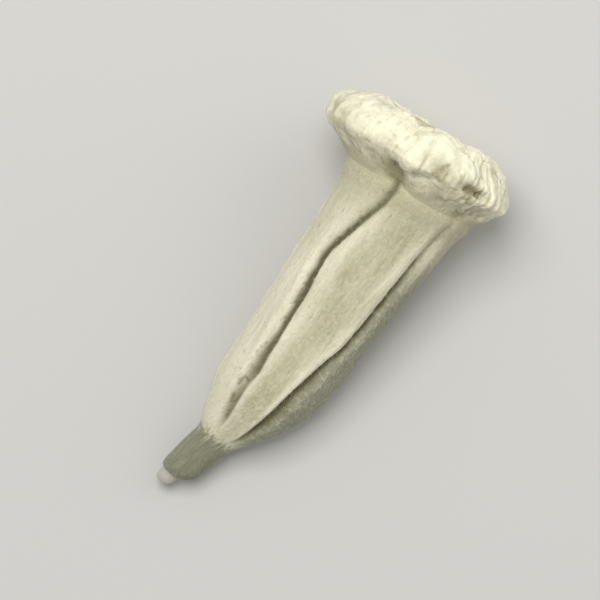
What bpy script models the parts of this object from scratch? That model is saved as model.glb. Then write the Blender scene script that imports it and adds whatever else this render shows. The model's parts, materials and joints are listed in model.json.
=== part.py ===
# Dried baby okra pod, lying on its side on a flat surface.
# +X runs from the tip to the cut stem end, +Z is up, and the surface is z = 0.
# Distances along the pod start at the end of the tip. Angles round it start at +Z
# and turn towards -Y. Sizes are in millimetres and go to metres in place().

import math

import bmesh
import bpy
from mathutils import Matrix, Vector

MM = 0.001

# Pod: distance from the tip, and radius over the ribs.
POD_OUTLINE = [
    (0.00, 0.00), (0.10, 0.34), (0.45, 0.54), (0.80, 0.56), (1.05, 0.84), (1.60, 1.08),
    (2.80, 1.14), (4.00, 1.20), (4.50, 1.38), (5.40, 1.84), (7.30, 2.66), (9.30, 3.08),
    (13.20, 3.32), (17.00, 3.50), (20.40, 3.72), (21.40, 3.84), (22.00, 4.02), (22.30, 3.94),
    (22.44, 3.50), (22.96, 3.22), (23.36, 2.60), (23.46, 0.00),
]
TIP_END = 4.3             # the plain beak ends and the ribs begin
RIBS_FULL = 8.0           # the ribs have their whole depth from here
RIBS_FADE = 19.5          # and run out towards the cap between here
RIBS_END = 23.2           # and here
NECK = 22.4               # where the pod goes under the stem cap

# Stem cap: distance from the tip, and radius over the lobes, from the socket
# round the outside to the middle of the cut face.
CAP_OUTLINE = [
    (23.81, 0.00), (23.72, 2.85), (23.28, 3.55), (22.78, 3.79), (22.66, 4.05),
    (22.92, 4.32), (23.30, 4.76), (23.66, 5.24), (24.00, 5.72), (24.42, 6.04), (24.94, 6.00),
    (25.48, 5.68), (25.98, 5.14), (26.36, 4.45), (26.48, 3.75), (26.36, 3.05),
    (26.16, 2.30), (26.12, 1.00), (26.00, 0.00),
]
CAP_SOCKET_END = 4        # outline points up to the lip, where the cap meets the pod
CAP_RIM = 9               # outline point at the widest part of the rim
CAP_FACE_ROUND = 2.3      # the cut face is round inside this radius
FRONT_START = 25.6        # from here on the cap's front edge follows the lobes

# Spine: distance from the tip, and how far the middle lies towards +Y.
SPINE_SIDE = [
    (0.0, 0.48), (0.7, 0.42), (1.6, 0.08), (2.8, -0.08), (4.5, -0.36), (7.2, -0.66),
    (9.6, -0.75), (15.0, -0.42), (19.0, -0.18), (22.4, 0.08),
]
CAP_TURN_START = 16.0     # the pod starts to bend towards the cap's own direction
CAP_YAW = 9.0             # degrees that the cut face turns towards +Y
CAP_PITCH = 7.0           # degrees that the cut face turns down
CAP_SHIFT = 0.58          # how far the rim sits towards +Y of the pod's own middle
CAP_SHIFT_LENGTH = 1.8

# Grooves: distance from the tip, and angle in degrees.
GROOVES = [
    [(0.0, -16.0), (5.0, -15.0), (6.6, -19.0), (8.0, -23.0), (9.2, -22.5), (10.6, -25.8),
     (12.5, -28.5), (14.8, -30.0), (17.0, -36.0), (18.6, -31.0), (20.2, -21.5),
     (21.4, -13.5), (22.4, -10.0)],
    [(0.0, 34.0), (5.0, 36.0), (7.0, 31.0), (9.0, 28.5), (10.7, 31.0), (12.3, 38.5),
     (13.6, 44.5), (16.0, 47.5), (22.4, 50.0)],
    [(0.0, 101.0), (11.2, 112.0), (22.4, 113.0)],
    [(0.0, 177.0), (11.2, 180.0), (22.4, 181.0)],
    [(0.0, 262.0), (11.2, 256.0), (22.4, 252.0)],
]
LOBE_DROP = 0.055         # how far a rib falls towards its grooves, of the radius
CREASE_DEPTH = 0.46       # groove between two ribs
CREASE_WIDTH = 0.15       # its half width, of half a rib's width
LIP_RISE = 0.11           # raised lip on both sides of each groove
LIP_PLACE = 0.30          # its middle, from the groove
LIP_WIDTH = 0.14
VALLEY_DEPTH = 0.12       # shallow dent along the middle of each rib
VALLEY_WIDTH = 0.38
VALLEYS = [1.0, 0.6, 0.8, 0.8, 0.15]       # share of the dent that each rib has
CAP_LOBE_DROP = 0.040
CAP_NOTCH_DEPTH = 0.24    # notch in the cap's rim at each groove
CAP_NOTCH_WIDTH = 0.26
CAP_SET_BACK = 0.42       # how far the front edge steps back at each notch
CAP_NOTCHES = [1.0, 0.25, 0.9, 0.9, 0.9]   # share of the notch at each groove
# How far the front edge reaches forward in the middle of each lobe.
CAP_LOBE_REACH = [0.25, -0.40, 0.10, 0.10, 0.20]
POCKET_DEPTH = 0.55       # hollow under the rim where a groove runs in
POCKET_START = 0.5        # from the lip, where it is deepest

SINK = 0.20               # how much of the low points is flattened to rest on
LARGEST_TURN = 16.0       # degrees, tried first when the pod is laid down
TURN_HALVINGS = 20
SETTLING_ROUNDS = 3

# Mesh
ROUND_STEPS = 60          # points round the pod, a multiple of the ribs
POD_STEP = 0.95           # longest step along the outlines
CAP_STEP = 0.75
CROWDING = 0.34           # how strongly points gather at the grooves
MERGE = 0.01              # points of a turned mesh nearer than this are one
RIBS = len(GROOVES)

# Dusty khaki skin and creamy stem tissue, both matt.
POD_COLOUR = (0.62, 0.58, 0.41)
CAP_COLOUR = (0.82, 0.78, 0.56)
POD_ROUGHNESS = 0.85
CAP_ROUGHNESS = 0.80


def smooth_curve(points, x):
    """Value at x of a smooth curve through points, without overshoot."""
    last = len(points) - 1
    if x <= points[0][0]:
        return points[0][1]
    if x >= points[last][0]:
        return points[last][1]
    slopes = [(b[1] - a[1]) / (b[0] - a[0]) for a, b in zip(points, points[1:])]
    i = max(k for k in range(last) if points[k][0] <= x)

    def tangent(k):
        if k == 0 or k == last:
            return slopes[min(k, last - 1)]
        before, after = slopes[k - 1], slopes[k]
        if before * after <= 0.0:
            return 0.0
        return 2.0 * before * after / (before + after)

    width = points[i + 1][0] - points[i][0]
    t = (x - points[i][0]) / width
    rise = t * t * (3.0 - 2.0 * t)
    value = points[i][1] * (1.0 - rise) + points[i + 1][1] * rise
    value += width * tangent(i) * t * (1.0 - t) ** 2
    value -= width * tangent(i + 1) * t * t * (1.0 - t)
    return value


def ease(x, start, end):
    """0 before start, 1 after end, and a smooth step between them."""
    t = min(max((x - start) / (end - start), 0.0), 1.0)
    return t * t * (3.0 - 2.0 * t)


def groove_angle(index, distance):
    """Angle of a groove in degrees; past the last one it goes on round the pod."""
    return smooth_curve(GROOVES[index % RIBS], distance) + 360.0 * (index // RIBS)


def rib_position(turn):
    """Rib number, and place across it from -1 to 1, for a share of the full turn."""
    number = min(int(turn * RIBS), RIBS - 1)
    across = 2.0 * (turn * RIBS - number) - 1.0
    return number, across * (1.0 + CROWDING - CROWDING * across * across)


def bump(x, width):
    return math.exp(-((x / width) ** 2))


def pod_form(distance, radius, number, across):
    """Adds the ribs, the lipped grooves between them and the dent along each rib."""
    ribbed = ease(distance, TIP_END, RIBS_FULL) * (1.0 - ease(distance, RIBS_FADE, RIBS_END))
    from_groove = 1.0 - abs(across)
    radius -= ribbed * LOBE_DROP * radius * across * across
    radius -= ribbed * CREASE_DEPTH * bump(from_groove, CREASE_WIDTH)
    radius += ribbed * LIP_RISE * bump(from_groove - LIP_PLACE, LIP_WIDTH)
    radius -= ribbed * VALLEYS[number] * VALLEY_DEPTH * bump(across, VALLEY_WIDTH)
    return distance, radius


def cap_form(distance, radius, number, across):
    """Adds the rim's lobes, its notches and the hollows under it."""
    lip, rim = CAP_OUTLINE[CAP_SOCKET_END], CAP_OUTLINE[CAP_RIM]
    if radius < lip[1] and distance < (lip[0] + CAP_OUTLINE[-1][0]) / 2.0:
        return distance, radius
    lobed = ease(radius, CAP_FACE_ROUND, rim[1])
    nearest = (number + 1) % RIBS if across > 0.0 else number
    notch = CAP_NOTCHES[nearest] * bump(1.0 - abs(across), CAP_NOTCH_WIDTH)
    radius -= lobed * (CAP_LOBE_DROP * radius * across * across + CAP_NOTCH_DEPTH * notch)
    deepest = lip[0] + POCKET_START
    under_rim = ease(distance, lip[0], deepest) * (1.0 - ease(distance, deepest, rim[0]))
    radius -= under_rim * POCKET_DEPTH * notch
    front = lobed * ease(distance, rim[0], FRONT_START)
    reach = CAP_LOBE_REACH[number] * (1.0 - across * across) - CAP_SET_BACK * notch
    return distance + front * reach, radius


def spine(distance):
    """Middle of the pod at a distance from the tip, and the turn of its section."""
    turned = ease(distance, CAP_TURN_START, NECK)
    turn = Matrix.Rotation(math.radians(CAP_YAW) * turned, 3, "Z")
    turn = turn @ Matrix.Rotation(math.radians(CAP_PITCH) * turned, 3, "Y")
    along = min(distance, NECK)
    middle = Vector((along, smooth_curve(SPINE_SIDE, along), 0.0))
    shift = CAP_SHIFT * ease(distance, NECK, NECK + CAP_SHIFT_LENGTH)
    return middle + turn @ Vector((distance - along, shift, 0.0)), turn


def place(distance, radius, degrees):
    """Point of the surface, in metres, with the pod's spine level."""
    middle, turn = spine(distance)
    angle = math.radians(degrees)
    outward = Vector((0.0, -radius * math.sin(angle), radius * math.cos(angle)))
    return (middle + turn @ outward) * MM


def spread(outline, longest):
    """The outline with its long stretches divided along a smooth curve through it."""
    lengths = [0.0]
    for a, b in zip(outline, outline[1:]):
        lengths.append(lengths[-1] + math.dist(a, b))
    along = [(s, p[0]) for s, p in zip(lengths, outline)]
    across = [(s, p[1]) for s, p in zip(lengths, outline)]
    points = []
    for start, end in zip(lengths, lengths[1:]):
        pieces = math.ceil((end - start) / longest)
        points += [start + (end - start) * k / pieces for k in range(pieces)]
    points.append(lengths[-1])
    return [(smooth_curve(along, s), smooth_curve(across, s)) for s in points]


def turned_mesh(name, outline):
    """Closed surface made by turning an outline of (distance, radius) round its axis."""
    mesh = bpy.data.meshes.new(name)
    points = [(radius, 0.0, distance) for distance, radius in outline]
    mesh.from_pydata(points, [(k, k + 1) for k in range(len(points) - 1)], [])
    profile = bpy.data.objects.new(name + "_profile", mesh)
    bpy.context.scene.collection.objects.link(profile)
    screw = profile.modifiers.new("Turn", "SCREW")
    screw.axis = "Z"
    screw.steps = ROUND_STEPS
    screw.render_steps = ROUND_STEPS
    screw.use_merge_vertices = True
    screw.merge_threshold = MERGE * MM
    depsgraph = bpy.context.evaluated_depsgraph_get()
    turned = bpy.data.meshes.new_from_object(profile.evaluated_get(depsgraph))
    bpy.data.objects.remove(profile)
    return turned


def shape(mesh, rule):
    """Moves each point of a turned mesh to where rule(distance, radius, turn) puts it."""
    edit = bmesh.new()
    edit.from_mesh(mesh)
    bmesh.ops.remove_doubles(edit, verts=edit.verts, dist=MERGE * MM)
    for vert in edit.verts:
        turn = math.atan2(vert.co.y, vert.co.x) / math.tau % 1.0
        radius = math.hypot(vert.co.x, vert.co.y)
        vert.co = rule(vert.co.z, radius, turn)
    bmesh.ops.triangulate(edit, faces=edit.faces)
    bmesh.ops.recalc_face_normals(edit, faces=edit.faces)
    edit.to_mesh(mesh)
    edit.free()


def angle_across(number, across, distance):
    before, after = groove_angle(number, distance), groove_angle(number + 1, distance)
    return before + (after - before) * (across + 1.0) / 2.0


def make_piece(name, outline, longest, form):
    """Turns an outline and gives it its ribs or lobes."""
    mesh = turned_mesh(name, spread(outline, longest)[::-1])

    def rule(distance, radius, turn):
        number, across = rib_position(turn)
        angle = angle_across(number, across, distance)
        return place(*form(distance, radius, number, across), angle)

    shape(mesh, rule)
    return mesh


def lowest(points):
    return min(point.z for point in points)


def turn_level(meshes, axis, heights):
    """Turns the meshes about an axis until both of the heights are the same."""
    step = math.radians(LARGEST_TURN)
    for _ in range(TURN_HALVINGS):
        step /= 2.0
        first, second = heights()
        turn = Matrix.Rotation(step if first > second else -step, 4, axis)
        for mesh in meshes:
            mesh.transform(turn)


def lay_down(pod, cap):
    """Turns the pod until its belly and both low lobes of its cap touch the ground."""
    pod_points = [vert.co for vert in pod.vertices]
    cap_points = [vert.co for vert in cap.vertices]

    def lobes():
        left = lowest(point for point in cap_points if point.y > 0.0)
        return lowest(point for point in cap_points if point.y < 0.0), left

    def ends():
        return lowest(cap_points), lowest(pod_points)

    for _ in range(SETTLING_ROUNDS):
        turn_level((pod, cap), "X", lobes)
        turn_level((pod, cap), "Y", ends)


def settle(meshes):
    """Puts the middle of the box over the origin and flattens the low points at z = 0."""
    points = [vert.co for mesh in meshes for vert in mesh.vertices]
    middle_x = (min(p.x for p in points) + max(p.x for p in points)) / 2.0
    middle_y = (min(p.y for p in points) + max(p.y for p in points)) / 2.0
    ground = min(p.z for p in points) + SINK * MM
    for point in points:
        point.x -= middle_x
        point.y -= middle_y
        point.z = max(point.z - ground, 0.0)


def finish(name, colour, roughness):
    """Principled material in the part's colour."""
    material = bpy.data.materials.new(name)
    material.use_nodes = True
    shader = material.node_tree.nodes["Principled BSDF"]
    shader.inputs["Base Color"].default_value = (*colour, 1.0)
    shader.inputs["Roughness"].default_value = roughness
    shader.inputs["Metallic"].default_value = 0.0
    return material


def main():
    for old in list(bpy.data.objects):
        bpy.data.objects.remove(old)
    parts = bpy.data.collections.new("okra_pod")
    bpy.context.scene.collection.children.link(parts)
    pod = make_piece("pod", POD_OUTLINE, POD_STEP, pod_form)
    cap = make_piece("stem_cap", CAP_OUTLINE, CAP_STEP, cap_form)
    lay_down(pod, cap)
    settle((pod, cap))
    pod.materials.append(finish("pod_skin", POD_COLOUR, POD_ROUGHNESS))
    cap.materials.append(finish("stem_cap_skin", CAP_COLOUR, CAP_ROUGHNESS))
    for name, mesh in (("pod", pod), ("stem_cap", cap)):
        mesh.shade_smooth()
        parts.objects.link(bpy.data.objects.new(name, mesh))


main()
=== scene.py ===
import json
import math

import bpy
import numpy as np
from mathutils import Euler, Matrix, Vector

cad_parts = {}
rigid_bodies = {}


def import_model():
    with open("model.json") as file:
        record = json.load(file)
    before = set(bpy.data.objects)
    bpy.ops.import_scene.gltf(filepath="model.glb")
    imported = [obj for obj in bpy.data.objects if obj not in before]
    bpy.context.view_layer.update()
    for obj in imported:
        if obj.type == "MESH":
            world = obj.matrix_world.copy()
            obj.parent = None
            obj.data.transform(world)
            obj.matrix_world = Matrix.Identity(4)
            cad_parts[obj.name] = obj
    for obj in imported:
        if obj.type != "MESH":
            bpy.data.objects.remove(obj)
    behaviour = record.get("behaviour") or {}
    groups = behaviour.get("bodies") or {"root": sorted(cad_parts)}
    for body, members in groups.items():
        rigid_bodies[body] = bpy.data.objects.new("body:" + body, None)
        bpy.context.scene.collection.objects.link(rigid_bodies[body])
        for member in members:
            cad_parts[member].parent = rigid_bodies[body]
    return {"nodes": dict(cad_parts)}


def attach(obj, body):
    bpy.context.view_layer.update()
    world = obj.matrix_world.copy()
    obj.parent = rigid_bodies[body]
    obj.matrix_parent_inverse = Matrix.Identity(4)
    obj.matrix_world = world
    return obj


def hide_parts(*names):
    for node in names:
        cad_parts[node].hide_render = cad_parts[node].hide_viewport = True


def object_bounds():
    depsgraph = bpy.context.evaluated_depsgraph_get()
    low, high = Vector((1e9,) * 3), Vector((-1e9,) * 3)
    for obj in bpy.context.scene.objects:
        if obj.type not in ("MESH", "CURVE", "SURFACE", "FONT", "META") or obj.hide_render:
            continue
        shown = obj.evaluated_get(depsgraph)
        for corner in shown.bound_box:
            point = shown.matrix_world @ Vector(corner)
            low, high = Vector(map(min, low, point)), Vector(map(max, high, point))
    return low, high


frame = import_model()
cadLow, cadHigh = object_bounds()
mm = 0.001
print("frame loaded:", ", ".join(sorted(frame["nodes"])))

# How the whole pod bends and lies
podPose = {
    "spineSide": [           # distance from the tip, and how far the middle stands to the side
        (0.0, 0.48), (0.7, 0.42), (1.6, 0.08), (2.8, -0.08), (4.5, -0.36), (7.2, -0.66),
        (9.6, -0.75), (15.0, -0.42), (19.0, -0.18), (22.4, 0.08)],
    "neck": 22.4,            # where the pod goes under the stem cap
    "capTurnStart": 16.0,    # the pod starts to bend towards the cap's own direction
    "capYaw": 9.0,           # degrees sideways
    "capPitch": 7.0,         # and downwards
    "capShift": 0.58,        # the cap sits this far to the side
    "capShiftLength": 1.8,   # and gets there over this length
    "grooves": [             # distance from the tip, and degrees round the pod
        [(0.0, -16.0), (5.0, -15.0), (6.6, -19.0), (8.0, -23.0), (9.2, -22.5), (10.6, -25.8),
         (12.5, -28.5), (14.8, -30.0), (17.0, -36.0), (18.6, -31.0), (20.2, -21.5),
         (21.4, -13.5), (22.4, -10.0)],
        [(0.0, 34.0), (5.0, 36.0), (7.0, 31.0), (9.0, 28.5), (10.7, 31.0), (12.3, 38.5),
         (13.6, 44.5), (16.0, 47.5), (22.4, 50.0)],
        [(0.0, 101.0), (11.2, 112.0), (22.4, 113.0)],
        [(0.0, 177.0), (11.2, 180.0), (22.4, 181.0)],
        [(0.0, 262.0), (11.2, 256.0), (22.4, 252.0)],
    ],
    "crowding": 0.34,        # how strongly points gather at the grooves
    "lie": (0.522, -11.462, -0.370),   # turn that brings the belly and the cap to the table
}
ribCount = len(podPose["grooves"])
lieDown = Euler([math.radians(a) for a in podPose["lie"]]).to_matrix()


def smoothCurve(points, x):
    # smooth curve through points, without overshoot
    last = len(points) - 1
    if x <= points[0][0]:
        return points[0][1]
    if x >= points[last][0]:
        return points[last][1]
    slopes = [(b[1] - a[1]) / (b[0] - a[0]) for a, b in zip(points, points[1:])]
    i = max(k for k in range(last) if points[k][0] <= x)

    def tangent(k):
        if k == 0 or k == last:
            return slopes[min(k, last - 1)]
        before, after = slopes[k - 1], slopes[k]
        return 0.0 if before * after <= 0.0 else 2.0 * before * after / (before + after)

    width = points[i + 1][0] - points[i][0]
    t = (x - points[i][0]) / width
    rise = t * t * (3.0 - 2.0 * t)
    value = points[i][1] * (1.0 - rise) + points[i + 1][1] * rise
    value += width * tangent(i) * t * (1.0 - t) ** 2
    return value - width * tangent(i + 1) * t * t * (1.0 - t)


def ease(x, start, end):
    # 0 at the start, 1 at the end, smooth between
    t = np.clip((x - start) / (end - start), 0.0, 1.0)
    return t * t * (3.0 - 2.0 * t)


def spread(outline, step):
    # even steps along a smooth outline
    lengths = [0.0]
    for a, b in zip(outline, outline[1:]):
        lengths.append(lengths[-1] + math.dist(a, b))
    along = [(s, p[0]) for s, p in zip(lengths, outline)]
    across = [(s, p[1]) for s, p in zip(lengths, outline)]
    count = int(lengths[-1] / step)
    stops = [lengths[-1] * k / count for k in range(count + 1)]
    return [(smoothCurve(along, s), smoothCurve(across, s)) for s in stops]


def grooveAngle(index, distance):
    # degrees round the pod of a groove, counted on past a full turn
    turns, groove = divmod(index, ribCount)
    return smoothCurve(podPose["grooves"][groove], distance) + 360.0 * turns


def spine(distance):
    # middle of the pod at a distance from the tip, and the turn of its section there
    neck = podPose["neck"]
    turned = float(ease(distance, podPose["capTurnStart"], neck))
    turn = Matrix.Rotation(math.radians(podPose["capYaw"]) * turned, 3, "Z")
    turn = turn @ Matrix.Rotation(math.radians(podPose["capPitch"]) * turned, 3, "Y")
    along = min(distance, neck)
    shift = podPose["capShift"] * float(ease(distance, neck, neck + podPose["capShiftLength"]))
    middle = Vector((along, smoothCurve(podPose["spineSide"], along), 0.0))
    return middle + turn @ Vector((distance - along, shift, 0.0)), turn


def skinPlace(distance, radius, degrees):
    # a place on a skin in its own straight measure, which the textures read as "grain"
    angle = math.radians(degrees)
    return distance, -radius * math.sin(angle), radius * math.cos(angle)


def turnedSkin(name, outline, step, roundSteps):
    # closed skin turned from an outline and laid along the spine, with what its relief needs
    turns = np.arange(roundSteps) / roundSteps * ribCount
    number = np.floor(turns).astype(int)
    across = 2.0 * (turns - number) - 1.0
    across = across * (1.0 + podPose["crowding"] * (1.0 - across * across))
    pointRadius = 1e-6       # a ring smaller than this is one closing point
    rings = []
    for distance, radius in spread(outline, step):
        count = 1 if radius < pointRadius else roundSteps
        middle, turn = spine(distance)
        turn = np.array(lieDown @ turn)
        grooves = np.array([grooveAngle(k, distance) for k in range(ribCount + 1)])
        before, after = grooves[number], grooves[number + 1]
        angle = np.radians(before + (after - before) * (across + 1) / 2)
        local = np.stack([np.zeros(count), -np.sin(angle[:count]), np.cos(angle[:count])], 1)
        rings.append({
            "place": np.array(lieDown @ middle) + local @ turn.T * radius,
            "outward": local @ turn.T,
            "ahead": np.tile(turn[:, 0], (count, 1)),
            "grain": local * radius + [distance, 0.0, 0.0],   # patterns that lie along the pod
            "rays": local + [radius, 0.0, 0.0],               # patterns that run out over the rim
            "across": across[:count] if count > 1 else np.zeros(1),
            "rib": number[:count],
            "distance": np.full(count, distance),
            "radius": np.full(count, radius),
        })
    skin = {key: np.concatenate([ring[key] for ring in rings]) for key in rings[0]}
    faces, start = [], 0
    for ring, following in zip(rings, rings[1:]):
        low, high = len(ring["rib"]), len(following["rib"])
        above = start + low
        for k in range(roundSteps):
            n = (k + 1) % roundSteps
            corners = [start + k % low, start + n % low, above + n % high, above + k % high]
            faces.append(list(dict.fromkeys(corners)))
        start = above
    skin["mesh"] = bpy.data.meshes.new(name)
    skin["mesh"].from_pydata(skin["place"].tolist(), [], faces)
    skin["mesh"].update()
    for key in ("outward", "ahead", "grain", "rays", "across", "radius"):
        addAttribute(skin["mesh"], key, skin[key])
    return skin


def addAttribute(mesh, name, values):
    values = np.asarray(values, dtype=np.float32)
    kind, field = ("FLOAT_VECTOR", "vector") if values.ndim == 2 else ("FLOAT", "value")
    mesh.attributes.new(name, kind, "POINT").data.foreach_set(field, values.ravel())


# Small helpers for node trees, used by the shapes and by the finishes
def addNode(tree, kind, inputs=None, **settings):
    node = tree.nodes.new(kind)
    for setting, value in settings.items():
        setattr(node, setting, value)
    for key, value in (inputs or {}).items():
        if isinstance(value, bpy.types.NodeSocket):
            tree.links.new(value, node.inputs[key])
        else:
            node.inputs[key].default_value = value
    return next((s for s in node.outputs if s.enabled), None)


def calc(tree, operation, a, b=0.0):
    return addNode(tree, "ShaderNodeMath", {0: a, 1: b}, operation=operation)


def total(tree, *terms):
    result = terms[0]
    for term in terms[1:]:
        result = calc(tree, "ADD", result, term)
    return result


def product(tree, *factors):
    result = factors[0]
    for factor in factors[1:]:
        result = calc(tree, "MULTIPLY", result, factor)
    return result


def mixed(tree, parts, weights):
    # the parts added up by their weights, on top of the base
    weighted = [product(tree, part, weights[key]) for key, part in parts.items()]
    return total(tree, *weighted, weights["base"])


def rest(tree, value):
    # what is left of 1
    return calc(tree, "SUBTRACT", 1.0, value)


def bell(tree, x, width):
    # 1 at zero, falling off to both sides
    share = calc(tree, "DIVIDE", x, width)
    return calc(tree, "EXPONENT", product(tree, share, share, -1.0))


def fade(tree, value, low, high):
    # 0 at low, 1 at high, smooth between
    return addNode(tree, "ShaderNodeMapRange", {0: value, 1: low, 2: high, 3: 0.0, 4: 1.0},
                   interpolation_type="SMOOTHSTEP")


def vectorCalc(tree, operation, a, b):
    return addNode(tree, "ShaderNodeVectorMath", {0: a, 1: b}, operation=operation)


def lengthened(tree, vector, amount):
    return addNode(tree, "ShaderNodeVectorMath", {0: vector, "Scale": amount}, operation="SCALE")


# A pattern is a noise: features in a millimetre along the pod and round it, detail, roughness
def noise(tree, vector, along, around, detail=2.0, roughness=0.5):
    place = vectorCalc(tree, "MULTIPLY", vector, (along, around, around))
    return addNode(tree, "ShaderNodeTexNoise",
                   {"Vector": place, "Scale": 1.0, "Detail": detail, "Roughness": roughness})


def tone(tree, place, pattern, band):
    # share from 0 to 1 that comes in over a band of the noise
    return fade(tree, noise(tree, place, *pattern), *band)


def wave(tree, place, pattern):
    # noise as a swing of about -1 to 1
    return product(tree, calc(tree, "SUBTRACT", noise(tree, place, *pattern), 0.5), 2.0)


def thinLines(tree, place, pattern, width):
    # 1 along thin lines, where the noise crosses its middle
    away = calc(tree, "SUBTRACT", noise(tree, place, *pattern), 0.5)
    return rest(tree, fade(tree, calc(tree, "ABSOLUTE", away), 0.0, width))


def newShape(name, sizes):
    # geometry tree with the named sizes as its inputs
    tree = bpy.data.node_groups.new(name, "GeometryNodeTree")
    tree.interface.new_socket("Geometry", in_out="INPUT", socket_type="NodeSocketGeometry")
    for label, value in sizes.items():
        kind = "NodeSocketInt" if isinstance(value, int) else "NodeSocketFloat"
        tree.interface.new_socket(label, in_out="INPUT", socket_type=kind)
    tree.interface.new_socket("Geometry", in_out="OUTPUT", socket_type="NodeSocketGeometry")
    entry = tree.nodes.new("NodeGroupInput")
    return tree, {s.name: s for s in entry.outputs if s.name}


def readValue(tree, name, kind="FLOAT"):
    return addNode(tree, "GeometryNodeInputNamedAttribute", {"Name": name}, data_type=kind)


def readVector(tree, name):
    return readValue(tree, name, "FLOAT_VECTOR")


def keepValue(tree, geometry, name, value):
    return addNode(tree, "GeometryNodeStoreNamedAttribute",
                   {"Geometry": geometry, "Name": name, "Value": value},
                   data_type="FLOAT", domain="POINT")


def moveAlong(tree, geometry, direction, amount):
    offset = lengthened(tree, direction, amount)
    return addNode(tree, "GeometryNodeSetPosition", {"Geometry": geometry, "Offset": offset})


def endShape(tree, geometry, material):
    real = addNode(tree, "GeometryNodeRealizeInstances", {"Geometry": geometry})
    done = addNode(tree, "GeometryNodeSetMaterial", {"Geometry": real, "Material": material})
    tree.links.new(done, tree.nodes.new("NodeGroupOutput").inputs[0])
    return tree


def grow(name, mesh, tree, sizes):
    # runs a geometry tree on a mesh and returns the result as a plain object
    source = bpy.data.objects.new(name + "Base", mesh)
    bpy.context.scene.collection.objects.link(source)
    modifier = source.modifiers.new(name, "NODES")
    modifier.node_group = tree
    for item in tree.interface.items_tree:
        if item.in_out == "INPUT" and item.name in sizes:
            modifier[item.identifier] = sizes[item.name]
    depsgraph = bpy.context.evaluated_depsgraph_get()
    result = bpy.data.meshes.new_from_object(source.evaluated_get(depsgraph))
    source.modifiers.remove(modifier)
    bpy.data.objects.remove(source)
    result.name = name
    piece = bpy.data.objects.new(name, result)
    bpy.context.scene.collection.objects.link(piece)
    return piece


def newFinish(name, settings):
    material = bpy.data.materials.new(name)
    material.use_nodes = True
    shader = material.node_tree.nodes["Principled BSDF"]
    for socket, value in settings.items():
        shader.inputs[socket].default_value = value
    return material, material.node_tree, shader


def seen(tree, name, output="Fac"):
    node = tree.nodes.new("ShaderNodeAttribute")
    node.attribute_name = name
    return node.outputs[output]


def blend(tree, share, first, second):
    # from the first colour to the second
    first, second = ((*c, 1.0) if isinstance(c, tuple) else c for c in (first, second))
    return addNode(tree, "ShaderNodeMix", {0: share, 6: first, 7: second}, data_type="RGBA")


def finishSurface(tree, shader, colour, relief, depth):
    tree.links.new(colour, shader.inputs["Base Color"])
    bump = addNode(tree, "ShaderNodeBump",
                   {"Strength": 1.0, "Distance": depth * mm, "Height": relief})
    tree.links.new(bump, shader.inputs["Normal"])


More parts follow.
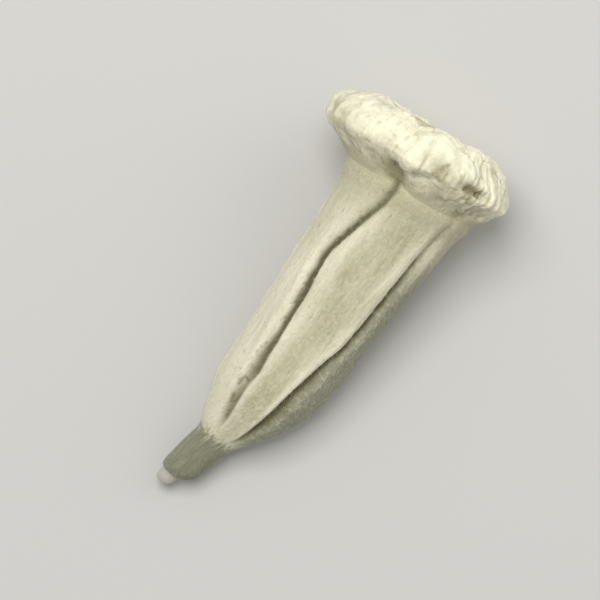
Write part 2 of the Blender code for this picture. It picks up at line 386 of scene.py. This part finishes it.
# Pod: the ribbed body with its beak and nub. Lists of five go by groove, or by the rib after it
podLook = {
    "outline": [             # distance from the tip, and radius
        (0.00, 0.00), (0.10, 0.34), (0.45, 0.54), (0.80, 0.56), (1.05, 0.84), (1.60, 1.08),
        (2.80, 1.14), (4.00, 1.20), (4.50, 1.38), (5.40, 1.84), (7.30, 2.66), (9.30, 3.08),
        (13.20, 3.32), (17.00, 3.50), (20.40, 3.72), (21.40, 3.84), (22.00, 4.02),
        (22.38, 4.10), (22.68, 4.09), (22.98, 3.80), (23.20, 3.20), (23.46, 0.00)],
    "step": 0.076,           # between the rings of points
    "roundSteps": 260,       # points in a ring
    "tipEnd": 4.3,           # the plain beak ends and the ribs begin
    "ribsFull": 8.0,
    "ribsFade": 19.5,
    "ribsEnd": 23.2,
    "creases": [             # distance, and how much of its depth each groove has there
        [(4.0, 0.0), (5.2, 0.38), (6.0, 0.64), (7.2, 0.68), (8.3, 0.52), (9.4, 0.80),
         (11.5, 0.92), (13.5, 1.0), (15.0, 1.35), (16.4, 1.35), (17.5, 1.05), (19.0, 0.95),
         (20.5, 0.74), (22.4, 0.70)],
        [(4.3, 0.0), (6.5, 1.0), (17.5, 1.0), (20.0, 0.40), (22.4, 0.22)],
        [(4.5, 0.0), (9.0, 1.0)],
        [(4.5, 0.0), (9.0, 1.0)],
        [(4.5, 0.0), (9.0, 1.0)],
    ],
    "creaseEnd": (23.1, 23.4),                     # all of them fade out here, under the cap
    "creaseSpread": [2.6, 2.1, 1.3, 1.3, 1.3],     # how much wider a groove is near the tip
    "spreadEnds": (8.0, 13.5),                     # it narrows from here to here
    "valleys": [1.0, 0.6, 0.8, 0.8, 0.15],         # how hollow the middle of each rib is
    "tintFull": 5.3,                               # the ribs have their own colours from here on
    "dullAndShadedRibs": [0.0, 0.88, 0.5, 0.2, 0.0],        # how far each rib takes the duller colour, partly painted shade on the low ribs
    "dullAndShadedFade": (17.5, 21.2),                      # it weakens from here to here
    "dullAndShadedLoss": 0.8,                               # and loses this share
    "paleRibs": [0.0, 0.0, 0.0, 0.0, 0.55],        # how far each rib takes the palest colour
    "paleFade": (15.0, 20.0),                      # it goes from here to here
    "pale": (0.79, 0.755, 0.57),         # crests of the ribs, their paleness partly painted highlight
    "khaki": (0.45, 0.43, 0.27),         # their sunken middles, partly painted shade
    "palestRib": (0.86, 0.825, 0.64),        # palest rib
    "dullAndShaded": (0.23, 0.226, 0.145),        # greyer low ribs, partly painted shade
    "crease": (0.175, 0.165, 0.078),     # painted shade at the bottoms of the grooves and in the crinkles
    "spot": (0.30, 0.265, 0.15),
    "beak": (0.20, 0.205, 0.14),
    "nub": (0.50, 0.48, 0.41),
    "neck": (0.51, 0.48, 0.31),
    "tones": {               # pattern, and the band of it over which the tone comes in
        "patches": ((0.35, 0.8, 3.0), (0.35, 0.65)),
        "bands": ((0.22, 2.4, 3.0, 0.6), (0.36, 0.64)),
        "streaks": ((0.9, 6.5, 3.0, 0.6), (0.34, 0.66)),
        "dust": ((4.0, 5.0, 4.0, 0.65), (0.46, 0.66)),
        "spots": ((2.2, 3.4, 2.0), (0.65, 0.73)),
    },
    "paleWeights": {"crest": 0.66, "patches": 0.26, "bands": 0.20, "streaks": 0.12, "base": -0.12},
    "crestBand": (-0.14, 0.10),          # height at which the crests turn pale, partly painted light
    "neckBand": (20.0, 23.2),            # distance over which the neck's colour comes in
    "dustShare": 0.30,
    "spotShare": 0.45,
    "beakBand": (4.1, 5.0),              # distance over which the beak's colour ends
    "beakRagged": 0.5,                   # how ragged its edge is
    "beakStreaks": 0.25,
    "beakShadedSide": (0.1, -0.9),          # painted shade: the beak's low side is darker
    "beakPaintedShade": 0.35,
    "nubBand": (0.75, 1.05),             # distance over which the nub's colour ends
    # band of the hollow mask over which the painted shade of the crease colour comes in
    "creaseBand": (0.10, 0.85),
    "fibres": (1.2, 8.0, 3.0, 0.6),      # patterns of the finest grain, which is not in the mesh
    "pores": (7.0, 9.0, 3.0, 0.7),
    "poreShare": 0.8,
    "grainDepth": 0.065,                 # in millimetres
    "waves": {               # patterns of the relief
        "wander": (0.5, 0.5, 3.0, 0.6),
        "swell": (0.45, 0.6, 2.0),
        "folds": (0.22, 1.1, 2.0),
        "pleats": (0.7, 3.6, 3.0, 0.6),
        "grit": (5.0, 7.0, 3.0, 0.6),
        "crinkles": (0.30, 1.7, 2.0, 0.6),
    },
    "crinkleWidth": 0.035,
    "crinkleShade": 0.25,    # how much painted shade the crinkles get, against a groove's bottom
    "relief": {
        "Lobe Drop": 0.055,      # how far a rib falls towards its grooves, of the radius
        "Crease Depth": 0.46,
        "Crease Width": 0.10,    # half width, of half a rib's width
        "Crease Wander": 0.08,
        "Lip Rise": 0.17,        # raised edge beside a groove
        "Lip Place": 0.30,
        "Lip Width": 0.15,
        "Valley Depth": 0.15,
        "Valley Width": 0.38,
        "Fold Depth": 0.10,      # long soft wrinkles along the pod
        "Pleat Depth": 0.045,    # finer wrinkles between them
        "Crinkle Depth": 0.035,  # thin sharp lines where the skin has shrunk
        "Grit Depth": 0.014,     # dusty grain of the dry skin
    },
}


def podFinish():
    look = podLook
    material, tree, shader = newFinish("podSkin", {
        "Roughness": 0.86, "Specular IOR Level": 0.25,
        "Sheen Weight": 0.18, "Sheen Roughness": 0.6})
    grain = seen(tree, "grain", "Vector")
    distance = addNode(tree, "ShaderNodeSeparateXYZ", {0: grain})
    side = calc(tree, "DIVIDE", distance.node.outputs["Y"], seen(tree, "radius"))
    tones = {key: tone(tree, grain, *look["tones"][key]) for key in look["tones"]}
    # partly painted light: crests paler and sunken middles darker, mixed with random tones
    parts = {"crest": fade(tree, seen(tree, "height"), *look["crestBand"])}
    parts.update((key, tones[key]) for key in ("patches", "bands", "streaks"))
    skin = blend(tree, mixed(tree, parts, look["paleWeights"]), look["khaki"], look["pale"])
    neckShare = fade(tree, total(tree, distance, tones["patches"]), *look["neckBand"])
    skin = blend(tree, neckShare, skin, look["neck"])
    skin = blend(tree, seen(tree, "paleShare"), skin, look["palestRib"])
    # partly painted shade: the low ribs, on the side away from the key light, greyer and darker
    skin = blend(tree, seen(tree, "dullAndShadedShare"), skin, look["dullAndShaded"])
    skin = blend(tree, product(tree, tones["dust"], look["dustShare"]), skin, look["pale"])
    skin = blend(tree, product(tree, tones["spots"], look["spotShare"]), skin, look["spot"])

    # beak and nub at the tip
    beakEdge = total(tree, distance, product(tree, tones["streaks"], look["beakRagged"]))
    beakStreaks = product(tree, tones["streaks"], look["beakStreaks"])
    beakTone = blend(tree, beakStreaks, look["beak"], look["khaki"])
    # painted shade: the beak's low side darkened towards the crease colour
    shadedSide = product(tree, fade(tree, side, *look["beakShadedSide"]), look["beakPaintedShade"])
    beakTone = blend(tree, shadedSide, beakTone, look["crease"])
    skin = blend(tree, rest(tree, fade(tree, beakEdge, *look["beakBand"])), skin, beakTone)
    skin = blend(tree, rest(tree, fade(tree, distance, *look["nubBand"])), skin, look["nub"])

    # painted shade: groove bottoms and crinkles darkened to the crease colour
    skin = blend(tree, fade(tree, seen(tree, "hollow"), *look["creaseBand"]), skin, look["crease"])
    pores = product(tree, noise(tree, grain, *look["pores"]), look["poreShare"])
    relief = total(tree, noise(tree, grain, *look["fibres"]), pores)
    finishSurface(tree, shader, skin, relief, look["grainDepth"])
    return material


def podShape(material):
    look, waves = podLook, podLook["waves"]
    tree, size = newShape("okraRibs", look["relief"])
    across, ribbed, radius = (readValue(tree, key) for key in ("across", "ribbed", "radius"))
    grain = readVector(tree, "grain")
    fromGroove = rest(tree, calc(tree, "ABSOLUTE", across))
    drop = product(tree, size["Lobe Drop"], radius, across, across, -1.0)
    lip = bell(tree, calc(tree, "SUBTRACT", fromGroove, size["Lip Place"]), size["Lip Width"])
    valley = product(tree, bell(tree, across, size["Valley Width"]), readValue(tree, "valleyShare"))

    # each groove wanders a little, and its lips swell and sink
    wander = product(tree, wave(tree, grain, waves["wander"]),
                     size["Crease Wander"], calc(tree, "SIGN", across))
    fromBottom = calc(tree, "ABSOLUTE", calc(tree, "SUBTRACT", fromGroove, wander))
    width = product(tree, size["Crease Width"], readValue(tree, "creaseSpread"))
    bottom = product(tree, bell(tree, fromBottom, width), readValue(tree, "creaseShare"))
    swell = total(tree, 1.0, wave(tree, grain, waves["swell"]))

    crinkles = thinLines(tree, grain, waves["crinkles"], look["crinkleWidth"])
    crinkles = product(tree, ribbed, crinkles)
    height = total(tree, product(tree, lip, swell, size["Lip Rise"]),
                   product(tree, valley, size["Valley Depth"], -1.0),
                   product(tree, wave(tree, grain, waves["folds"]), size["Fold Depth"]),
                   product(tree, wave(tree, grain, waves["pleats"]), size["Pleat Depth"]))
    relief = total(tree, product(tree, ribbed, total(tree, drop, height)),
                   product(tree, crinkles, size["Crinkle Depth"], -1.0),
                   product(tree, bottom, size["Crease Depth"], -1.0),
                   product(tree, wave(tree, grain, waves["grit"]), size["Grit Depth"]))
    # mask of painted shade for the skin's colour: groove bottoms and crinkles
    hollow = total(tree, bottom, product(tree, crinkles, look["crinkleShade"]))
    geometry = tree.nodes["Group Input"].outputs[0]
    geometry = keepValue(tree, geometry, "height", product(tree, ribbed, height))
    geometry = keepValue(tree, geometry, "hollow", hollow)
    geometry = moveAlong(tree, geometry, readVector(tree, "outward"), relief)
    return endShape(tree, geometry, material)


def nearestGroove(skin):
    return (skin["rib"] + (skin["across"] > 0.0)) % ribCount


def makePod():
    look = podLook
    skin = turnedSkin("podSkin", look["outline"], look["step"], look["roundSteps"])
    distance, rib, nearest = skin["distance"], skin["rib"], nearestGroove(skin)
    ribbed = ease(distance, look["tipEnd"], look["ribsFull"])
    ribbed = ribbed * (1.0 - ease(distance, look["ribsFade"], look["ribsEnd"]))
    depths = np.array([np.interp(distance, *zip(*line)) for line in look["creases"]])
    crease = depths[nearest, np.arange(len(distance))]
    crease = crease * (1.0 - ease(distance, *look["creaseEnd"]))
    spreads = np.array(look["creaseSpread"])[nearest]
    tinted = ease(distance, look["tipEnd"], look["tintFull"])
    dullAndShaded = 1.0 - look["dullAndShadedLoss"] * ease(distance, *look["dullAndShadedFade"])
    pale = 1.0 - ease(distance, *look["paleFade"])
    values = {
        "ribbed": ribbed,
        "creaseShare": crease,
        "creaseSpread": 1.0 + (spreads - 1.0) * (1.0 - ease(distance, *look["spreadEnds"])),
        "valleyShare": np.array(look["valleys"])[rib],
        "dullAndShadedShare": np.array(look["dullAndShadedRibs"])[rib] * dullAndShaded * tinted,
        "paleShare": np.array(look["paleRibs"])[rib] * pale * tinted,
    }
    for key in values:
        addAttribute(skin["mesh"], key, values[key])
    return grow("podBody", skin["mesh"], podShape(podFinish()), look["relief"])


# Stem cap: the swollen cut end with its lobed rim
capLook = {
    "outline": [             # distance from the tip, and radius
        (23.60, 0.00), (22.95, 3.20), (22.42, 3.84), (22.60, 4.04), (22.92, 4.32),
        (23.30, 4.76), (23.66, 5.24), (24.00, 5.72), (24.42, 6.04), (24.94, 6.00),
        (25.48, 5.68), (25.98, 5.14), (26.36, 4.45), (26.48, 3.75), (26.36, 3.05),
        (26.16, 2.30), (26.12, 1.00), (26.00, 0.00)],
    "step": 0.060,
    "roundSteps": 300,
    "inside": (3.2, 3.8),            # the part inside the pod goes over into the outside here
    "pocket": (22.10, 23.10),        # start and deepest place of the hollows under the rim
    "rim": (24.42, 6.04),
    "faceStarts": 24.1,              # from here on everything is outside the pod
    "front": 25.6,                   # from here on the front edge follows the lobes
    "freeStarts": (22.6, 23.4),      # smooth where it grows out of the pod, rough from here on
    "faceRound": 2.3,                # the cut face is round inside this radius
    "faceBand": (3.6, 4.4),          # and ends between these
    "rimBand": (4.6, 5.8),           # the rim's uneven reach comes in between these radii
    "pockets": [1.0, 0.35, 0.8, 0.8, 0.8],   # how deep the hollow at each groove is
    "notches": [1.0, 0.25, 0.9, 0.9, 0.9],   # how far the rim steps back at each groove
    "dents": [               # distance, radius, degrees; length, width; depth
        ((24.60, 6.0, 37.0), (0.38, 0.60), 0.54),
        ((24.65, 6.0, 46.0), (0.38, 0.60), 0.54),
        ((24.65, 5.9, 14.0), (0.90, 0.85), 0.34),
        ((23.70, 5.6, 10.0), (0.45, 0.70), 0.16),
        ((23.40, 5.3, -13.0), (0.40, 0.50), 0.25),
        ((24.90, 5.8, 118.0), (0.60, 0.70), 0.35),
        ((24.60, 6.0, 205.0), (0.50, 0.80), 0.35),
        ((24.80, 5.9, 290.0), (0.55, 0.60), 0.30),
    ],
    "swellings": [           # placed as the dents; with a minus sign the rim is flattened there
        ((26.30, 4.2, 44.0), (0.80, 1.10), 0.30),
        ((26.20, 4.6, 14.0), (0.70, 1.20), 0.20),
        ((25.30, 5.6, 80.0), (0.90, 1.90), -0.36),
        ((25.20, 5.8, -72.0), (0.60, 1.50), 0.22),
    ],
    "stainsAndPaintedLight": [              # where the flesh stays tan, or with a minus sign is paler: stains, the tan spot at 16 degrees painted shade in the dip beside the middle lobe, the paler spots painted highlight
        ((24.60, 6.0, -62.0), (0.80, 1.40), 0.40),
        ((24.70, 6.0, 16.0), (0.90, 0.80), 0.36),
        ((24.30, 6.0, 75.0), (0.80, 1.20), -0.40),
        ((26.30, 4.4, 32.0), (0.70, 1.20), -0.26),
        ((25.10, 5.8, 150.0), (0.90, 2.00), 0.40),
        ((24.90, 5.9, 235.0), (0.90, 1.60), 0.35),
    ],
    "cream": (0.95, 0.925, 0.70),
    "tan": (0.54, 0.495, 0.325),
    "neck": (0.53, 0.50, 0.33),      # under the rim the cap takes the pod's colour
    "shade": (0.33, 0.30, 0.17),     # in hollows and cracks
    "cut": (0.92, 0.88, 0.67),
    "ring": (0.50, 0.43, 0.27),
    "pith": (0.36, 0.29, 0.16),
    "tones": {               # pattern, and the band of it over which the tone comes in
        "patches": ((0.6, 0.6, 3.0), (0.36, 0.60)),
        "mottle": ((2.4, 2.4, 4.0, 0.6), (0.36, 0.62)),
    },
    "creamWeights": {"patches": 0.26, "mottle": 0.22, "ridges": 0.36, "front": 0.40,
                     "stainsAndPaintedLight": -1.0, "base": -0.10},
    "creamStarts": (23.7, 25.0),     # the flesh turns paler from here to here
    "ridgeBand": (-0.35, 0.15),
    "faceTan": (1.8, 3.0),           # radii over which the tan middle of the cut face ends
    "faceRagged": -0.5,              # how ragged its edge is
    "ringShare": 0.8,
    "pithBand": (0.9, 1.5),          # radii over which the pith ends
    "pithRagged": 0.4,
    "pithShare": 0.85,
    "neckBand": (23.2, 24.3),        # distance over which the neck's colour ends
    "neckRagged": {"patches": 0.35, "mottle": 0.15},
    "shadeBand": (0.05, 0.9),
    "dentShade": 1.4,                # how much painted shade dents and cracks get, against a hollow
    "crackShade": 0.42,
    "pores": (6.0, 6.0, 4.0, 0.65),  # pattern of the finest grain
    "poreDepth": 0.09,               # in millimetres
    "waves": {               # patterns of the relief
        "reach": (0.2, 3.2, 2.0),
        "ridges": (0.35, 8.5, 3.0, 0.6),
        "cracks": (0.42, 5.0, 2.0, 0.6),
        "furrows": (0.7, 8.0, 3.0, 0.6),
        "knobs": (0.62, 0.62, 2.0),
        "pits": (1.9, 1.9, 3.0),
        "grit": (6.0, 6.0, 3.0, 0.6),
    },
    "crackShift": (0.0, 2.3, 1.1),   # picks which cracks of the pattern show
    "crackWidth": 0.038,
    "furrowBand": (0.8, 2.0),        # radii over which the furrows of the cut face come in
    "relief": {
        "Lobe Drop": 0.040,
        "Notch Depth": 0.24,
        "Notch Width": 0.24,
        "Set Back": 0.48,        # how far the front edge steps back at each notch
        "Lobe Reach": 0.14,      # how far it reaches forward in the middle of each lobe
        "Pocket Depth": 0.70,    # hollow under the rim where a groove runs in
        "Rim Waves": 0.16,       # uneven reach of the rim
        "Ridge Depth": 0.20,     # fine ridges that run over the rim
        "Crack Depth": 0.07,     # thin splits between the ridges
        "Knob Depth": 0.30,
        "Dent Depth": 0.10,
        "Grit Depth": 0.022,
        "Ring Radius": 2.9,      # on the cut face
        "Ring Width": 0.22,
        "Edge Radius": 3.9,      # a second ring at the edge of the cut
        "Edge Width": 0.30,
        "Ring Rise": 0.10,
        "Furrow Depth": 0.09,
        "Pith Radius": 0.85,
        "Pith Depth": 0.22,
    },
}


def capFinish():
    look = capLook
    material, tree, shader = newFinish("capFlesh", {
        "Roughness": 0.84, "Specular IOR Level": 0.24,
        "Sheen Weight": 0.15, "Sheen Roughness": 0.6})
    grain = seen(tree, "grain", "Vector")
    distance = addNode(tree, "ShaderNodeSeparateXYZ", {0: grain})
    radius, cutFace = seen(tree, "radius"), seen(tree, "cutFace")
    tones = {key: tone(tree, grain, *look["tones"][key]) for key in look["tones"]}
    creamShare = mixed(tree, {
        "patches": tones["patches"],
        "mottle": tones["mottle"],
        "ridges": fade(tree, seen(tree, "ridge"), *look["ridgeBand"]),
        "front": fade(tree, distance, *look["creamStarts"]),
        # stains, with painted shade and painted highlight
        "stainsAndPaintedLight": seen(tree, "stainAndLightShare"),
    }, look["creamWeights"])
    flesh = blend(tree, creamShare, look["tan"], look["cream"])

    # the cut face: tan in its middle, with a darker ring and pith
    tanEdge = total(tree, radius, product(tree, tones["mottle"], look["faceRagged"]))
    tanShare = rest(tree, fade(tree, tanEdge, *look["faceTan"]))
    flesh = blend(tree, cutFace, flesh, blend(tree, tanShare, look["cut"], look["tan"]))
    ringShare = product(tree, seen(tree, "ringLine"), look["ringShare"])
    flesh = blend(tree, ringShare, flesh, look["ring"])
    pithEdge = total(tree, radius, product(tree, tones["mottle"], look["pithRagged"]))
    pithShare = rest(tree, fade(tree, pithEdge, *look["pithBand"]))
    pithShare = product(tree, pithShare, cutFace, look["pithShare"])
    flesh = blend(tree, pithShare, flesh, look["pith"])

    ragged = (product(tree, tones[key], share) for key, share in look["neckRagged"].items())
    neckShare = rest(tree, fade(tree, total(tree, distance, *ragged), *look["neckBand"]))
    flesh = blend(tree, neckShare, flesh, look["neck"])
    # painted shade: pockets under the rim, dents and cracks darkened to the shade colour
    flesh = blend(tree, fade(tree, seen(tree, "hollow"), *look["shadeBand"]), flesh, look["shade"])
    finishSurface(tree, shader, flesh, noise(tree, grain, *look["pores"]), look["poreDepth"])
    return material


def capShape(material):
    look, waves = capLook, capLook["waves"]
    tree, size = newShape("capLobes", look["relief"])
    across, radius, lobed, front, underRim, notched, cutFace, rimShare, free = (
        readValue(tree, key)
        for key in ("across", "radius", "lobed", "front", "underRim", "notched", "cutFace",
                    "rimShare", "free"))
    grain, rays = readVector(tree, "grain"), readVector(tree, "rays")

    # the rim: notches and hollows where the grooves run in, ridges and cracks over it
    notch = bell(tree, rest(tree, calc(tree, "ABSOLUTE", across)), size["Notch Width"])
    pocket = product(tree, notch, underRim)
    notch = product(tree, notch, notched)
    drop = product(tree, size["Lobe Drop"], radius, across, across, notched)
    cuts = total(tree, drop, product(tree, notch, size["Notch Depth"]))
    ridges = wave(tree, rays, waves["ridges"])
    shifted = vectorCalc(tree, "ADD", rays, look["crackShift"])
    cracks = product(tree, free, thinLines(tree, shifted, waves["cracks"], look["crackWidth"]))
    sideways = total(tree, product(tree, lobed, cuts, -1.0),
                     product(tree, cracks, size["Crack Depth"], -1.0),
                     product(tree, pocket, size["Pocket Depth"], -1.0),
                     product(tree, wave(tree, rays, waves["reach"]), rimShare, size["Rim Waves"]),
                     product(tree, ridges, free, size["Ridge Depth"]))

    def spotsOf(places):
        spots = []
        for centre, (length, width), depth in places:
            away = vectorCalc(tree, "SUBTRACT", grain, skinPlace(*centre))
            away = vectorCalc(tree, "DIVIDE", away, (length, width, width))
            reach = vectorCalc(tree, "DOT_PRODUCT", away, away)
            spot = calc(tree, "EXPONENT", product(tree, reach, -1.0))
            spots.append(product(tree, spot, depth))
        return total(tree, *spots)

    dented, swollen, stainAndLightShare = (spotsOf(look[key]) for key in ("dents", "swellings", "stainsAndPaintedLight"))

    # the cut face: a woody ring, a second one at its edge, rays and a sunken pith
    def ringOf(kind):
        away = calc(tree, "SUBTRACT", radius, size[kind + " Radius"])
        return product(tree, cutFace, bell(tree, away, size[kind + " Width"]))

    ringLine, ringEdge = ringOf("Ring"), ringOf("Edge")
    furrows = product(tree, wave(tree, rays, waves["furrows"]), cutFace,
                      fade(tree, radius, *look["furrowBand"]))
    pith = product(tree, cutFace, bell(tree, radius, size["Pith Radius"]))
    bulge = product(tree, rest(tree, product(tree, across, across)), size["Lobe Reach"])
    reach = calc(tree, "SUBTRACT", bulge, product(tree, notch, size["Set Back"]))
    forward = total(tree, product(tree, front, reach),
                    product(tree, ringLine, size["Ring Rise"]),
                    product(tree, ringEdge, size["Ring Rise"]),
                    product(tree, furrows, size["Furrow Depth"]),
                    product(tree, pith, size["Pith Depth"], -1.0))

    rough = total(tree, product(tree, wave(tree, grain, waves["knobs"]), size["Knob Depth"]),
                  product(tree, wave(tree, grain, waves["pits"]), size["Dent Depth"]),
                  product(tree, wave(tree, grain, waves["grit"]), size["Grit Depth"]),
                  product(tree, dented, -1.0), swollen)
    # mask of painted shade for the flesh's colour: pockets, dents and cracks
    hollow = total(tree, pocket, product(tree, dented, look["dentShade"]),
                   product(tree, cracks, look["crackShade"]))
    kept = {"hollow": hollow, "ringLine": ringLine, "stainAndLightShare": stainAndLightShare,
            "ridge": product(tree, ridges, free)}
    geometry = tree.nodes["Group Input"].outputs[0]
    for key in kept:
        geometry = keepValue(tree, geometry, key, kept[key])
    geometry = moveAlong(tree, geometry, readVector(tree, "outward"), sideways)
    geometry = moveAlong(tree, geometry, readVector(tree, "ahead"), forward)
    geometry = moveAlong(tree, geometry, addNode(tree, "GeometryNodeInputNormal"),
                         product(tree, rough, free))
    return endShape(tree, geometry, material)


def makeCap():
    look = capLook
    skin = turnedSkin("capSkin", look["outline"], look["step"], look["roundSteps"])
    distance, radius, nearest = skin["distance"], skin["radius"], nearestGroove(skin)
    rimPlace, rimRadius = look["rim"]
    faceSide = distance > look["faceStarts"]
    outside = np.where(faceSide, 1.0, ease(radius, *look["inside"]))
    underRim = ease(distance, *look["pocket"])
    underRim = underRim * (1.0 - ease(distance, look["pocket"][1], rimPlace))
    lobed = ease(radius, look["faceRound"], rimRadius) * outside
    values = {
        "lobed": lobed,
        "front": lobed * ease(distance, rimPlace, look["front"]),
        "underRim": underRim * outside * np.array(look["pockets"])[nearest],
        "notched": np.array(look["notches"])[nearest],
        "cutFace": faceSide * (1.0 - ease(radius, *look["faceBand"])),
        "rimShare": ease(radius, *look["rimBand"]) * outside,
        "free": ease(distance, *look["freeStarts"]) * outside,
    }
    for key in values:
        addAttribute(skin["mesh"], key, values[key])
    return grow("stemCap", skin["mesh"], capShape(capFinish()), look["relief"])


pod = makePod()
print("pod body:", len(pod.data.polygons), "faces")
cap = makeCap()
print("stem cap:", len(cap.data.polygons), "faces")


# On the table: in metres, in the middle of the frame's box, the low points flattened to rest
def pointsOf(piece):
    return np.array([v.co[:] for v in piece.data.vertices])


def layOnTable(pieces):
    points = np.concatenate([pointsOf(piece) for piece in pieces])
    shift = (np.array(cadLow) + np.array(cadHigh)) / 2.0
    shift -= (points.min(0) + points.max(0)) / 2.0 * mm
    shift[2] = cadHigh[2] - points[:, 2].max() * mm
    for piece in pieces:
        laid = pointsOf(piece) * mm + shift
        laid[:, 2] = np.maximum(laid[:, 2], 0.0)
        piece.data.vertices.foreach_set("co", laid.ravel())
        piece.data.update()
        piece.data.shade_smooth()


layOnTable((pod, cap))
print("pod and cap laid on the table")

# Fuzz: short stiff hairs on the pod, leaning towards the tip
fuzzLook = {
    "colour": (0.66, 0.63, 0.46),
    "sides": 3,                  # of each hair
    "lengths": (0.5, 1.4),       # shortest and longest, of the length below
    "bareShare": 0.35,           # share of the density in the hollows, with 1 more on the crests
    "crestBand": (-0.12, 0.12),
    "hairs": {
        "Density": 2.1e7,        # for each square metre
        "Length": 0.17 * mm,
        "Thickness": 0.006 * mm,
        "Lean": 1.1,
        "Tangle": 0.7,
        "Clear Of Table": 0.25 * mm,
        "Seed": 7,
    },
}


def fuzzFinish():
    material, _, _ = newFinish("podFuzz", {
        "Base Color": (*fuzzLook["colour"], 1.0), "Roughness": 0.7, "Specular IOR Level": 0.3})
    return material


def fuzzShape(material):
    look = fuzzLook
    tree, size = newShape("podHairs", look["hairs"])
    geometry, seed = tree.nodes["Group Input"].outputs[0], size["Seed"]
    place = addNode(tree, "GeometryNodeInputPosition")
    height = addNode(tree, "ShaderNodeSeparateXYZ", {0: place}).node.outputs["Z"]
    clear = calc(tree, "GREATER_THAN", height, size["Clear Of Table"])
    crest = fade(tree, readValue(tree, "height"), *look["crestBand"])
    density = product(tree, size["Density"], clear, total(tree, look["bareShare"], crest))
    points = addNode(tree, "GeometryNodeDistributePointsOnFaces",
                     {"Mesh": geometry, "Density": density, "Seed": seed})
    tangle = addNode(tree, "FunctionNodeRandomValue",
                     {0: (-1.0, -1.0, -1.0), 1: (1.0, 1.0, 1.0), "Seed": seed},
                     data_type="FLOAT_VECTOR")
    lean = lengthened(tree, readVector(tree, "ahead"), size["Lean"])
    direction = vectorCalc(tree, "SUBTRACT", points.node.outputs["Normal"], lean)
    direction = vectorCalc(tree, "ADD", direction, lengthened(tree, tangle, size["Tangle"]))
    turn = addNode(tree, "FunctionNodeAlignRotationToVector", {"Vector": direction}, axis="Z")
    hair = addNode(tree, "GeometryNodeMeshCone",
                   {"Vertices": look["sides"], "Radius Top": 0.0,
                    "Radius Bottom": size["Thickness"], "Depth": size["Length"]},
                   fill_type="NGON")
    shortest, longest = look["lengths"]
    length = addNode(tree, "FunctionNodeRandomValue", {2: shortest, 3: longest, "Seed": seed},
                     data_type="FLOAT")
    hairs = addNode(tree, "GeometryNodeInstanceOnPoints",
                    {"Points": points, "Instance": hair, "Rotation": turn, "Scale": length})
    return endShape(tree, hairs, material)


fuzz = grow("podFuzz", pod.data.copy(), fuzzShape(fuzzFinish()), fuzzLook["hairs"])
print("fuzz:", len(fuzz.data.polygons), "faces")

for piece, slotName in ((pod, "pod_skin"), (cap, "stem_cap_skin"), (fuzz, "pod_skin")):
    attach(piece, "root")
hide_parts("pod")
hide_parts("stem_cap")

# Table, camera and lights. A light's side is in the picture: to the right, and up
studio = {
    "tableColour": (0.58, 0.572, 0.55),
    "tableSize": 0.8,
    "frameWidth": 0.0345,    # metres that the picture takes in
    "cameraHeight": 0.30,
    "nearest": 0.01,         # the camera sees nothing closer
    "podDirection": 50.7,    # degrees above the picture's right that the pod points
    "lightDistance": 0.30,
    "keyPower": 0.63,
    "keySide": (-0.4, 1.0),
    "keyHeight": 72.0,       # degrees above the table
    "keySize": 0.15,
    "fillPower": 0.18,
    "fillSide": (1.0, 0.55),
    "fillHeight": 30.0,
    "fillSize": 0.24,
    "worldColour": (1.0, 0.99, 0.97),
    "worldLight": 0.43,
}


def addLight(name, side, height, power, size):
    light = bpy.data.objects.new(name, bpy.data.lights.new(name, "AREA"))
    bpy.context.scene.collection.objects.link(light)
    rise = math.radians(height)
    direction = side * math.cos(rise) + Vector((0.0, 0.0, math.sin(rise)))
    light.location = direction * studio["lightDistance"]
    light.rotation_euler = direction.to_track_quat("Z", "Y").to_euler()
    light.data.energy = power
    light.data.size = size


def makeStudio():
    table = bpy.data.objects.new("table", bpy.data.meshes.new("table"))
    half = studio["tableSize"] / 2.0
    corners = [(-half, -half, 0.0), (half, -half, 0.0), (half, half, 0.0), (-half, half, 0.0)]
    table.data.from_pydata(corners, [], [(0, 1, 2, 3)])
    bpy.context.scene.collection.objects.link(table)
    material, _, _ = newFinish("tableTop", {
        "Base Color": (*studio["tableColour"], 1.0), "Roughness": 0.9})
    table.data.materials.append(material)

    camera = bpy.data.objects.new("camera", bpy.data.cameras.new("camera"))
    bpy.context.scene.collection.objects.link(camera)
    camera.location = (0.0, 0.0, studio["cameraHeight"])
    camera.rotation_euler = (0.0, 0.0, -math.radians(studio["podDirection"]))
    aim = studio["cameraHeight"] - cadHigh[2] / 2.0
    camera.data.lens = camera.data.sensor_width * aim / studio["frameWidth"]
    camera.data.clip_start = studio["nearest"]
    bpy.context.scene.camera = camera

    picture = camera.rotation_euler.to_matrix()
    for name in ("key", "fill"):
        side = picture @ Vector((*studio[name + "Side"], 0.0)).normalized()
        height, power, size = (studio[name + what] for what in ("Height", "Power", "Size"))
        addLight(name, side, height, power, size)
    world = bpy.data.worlds.new("studio")
    world.use_nodes = True
    background = world.node_tree.nodes["Background"]
    background.inputs["Color"].default_value = (*studio["worldColour"], 1.0)
    background.inputs["Strength"].default_value = studio["worldLight"]
    bpy.context.scene.world = world
    bpy.context.scene.view_settings.view_transform = "Standard"


makeStudio()
print("studio ready")
